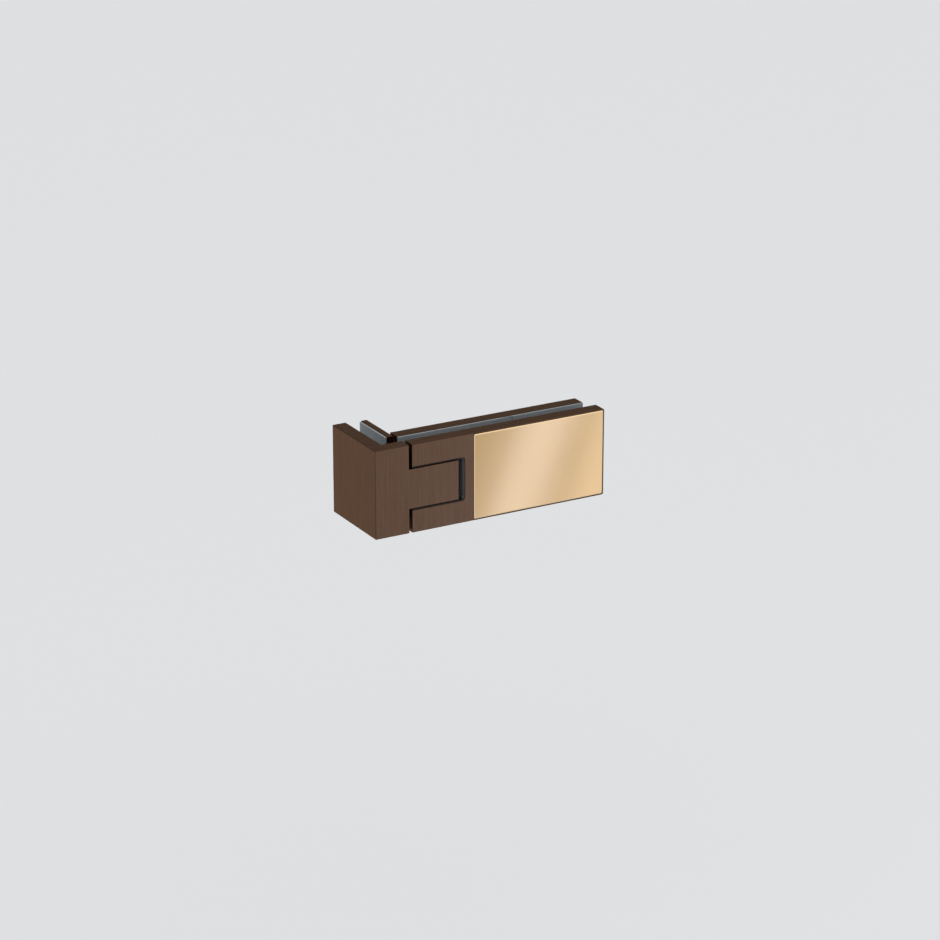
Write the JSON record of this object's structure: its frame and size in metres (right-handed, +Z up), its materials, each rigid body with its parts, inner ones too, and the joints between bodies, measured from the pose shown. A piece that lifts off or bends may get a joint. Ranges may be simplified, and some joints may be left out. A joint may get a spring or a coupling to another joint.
{
  "type": "lift hinge",
  "caption": "Glass-corner lift hinge: an angled bracket with a tongue, a swinging leaf with a polished cover, and a clamp carriage that a helix lifts as the leaf opens.",
  "frame": {"origin": "centre of the fixed pane's seat, on the face of the pad in the bracket's leg", "axes": "+X out of that seat and along the closed leaf, +Y in behind the leaf, +Z up along the pivot pin"},
  "size_m": [0.1417, 0.0492, 0.05],
  "materials": {
    "bronze": "satin",
    "gold": "polished",
    "pad": "matte",
    "nylon": "satin",
    "dark_plastic": "matte",
    "dark_steel": "satin",
    "steel": "satin"
  },
  "bodies": {
    "fixed_side": {"corner_bracket": "bronze", "fixed_back_plate": "bronze", "fixed_front_pad": "pad", "fixed_back_pad": "pad", "fixed_sleeve_upper": "nylon", "fixed_sleeve_lower": "nylon", "fixed_screw_upper": "steel", "fixed_screw_lower": "steel", "helix_bush": "steel", "bush_grub_screw": "dark_steel"},
    "leaf": {"door_plate": "bronze", "cover_plate": "gold", "grommet_near_upper": "nylon", "grommet_near_lower": "nylon", "grommet_far_upper": "nylon", "grommet_far_lower": "nylon", "notch_liner": "dark_plastic", "upper_bush": "dark_plastic", "lower_bush": "dark_plastic"},
    "carriage": {"carriage": "steel", "pivot_pin": "steel", "cross_pin": "steel", "guide_screw_near": "steel", "guide_screw_far": "steel", "door_front_pad": "pad", "door_back_pad": "pad", "door_back_plate": "bronze", "door_sleeve_near": "nylon", "door_sleeve_far": "nylon", "door_screw_near": "steel", "door_screw_far": "steel"}
  },
  "joints": [
    {"name": "door_swing", "type": "hinge", "parent": "fixed_side", "child": "leaf", "pos_m": [0.034, -0.02635, 0], "axis": [0, 0, -1], "range_deg": [0, 90]},
    {"name": "door_lift", "type": "slide", "parent": "leaf", "child": "carriage", "axis": [0, 0, 1], "range_m": [0, 0.005]}
  ],
  "couplings": [
    {"joint": "door_lift", "follows": "door_swing", "m_per_rad": 0.0031831}
  ]
}
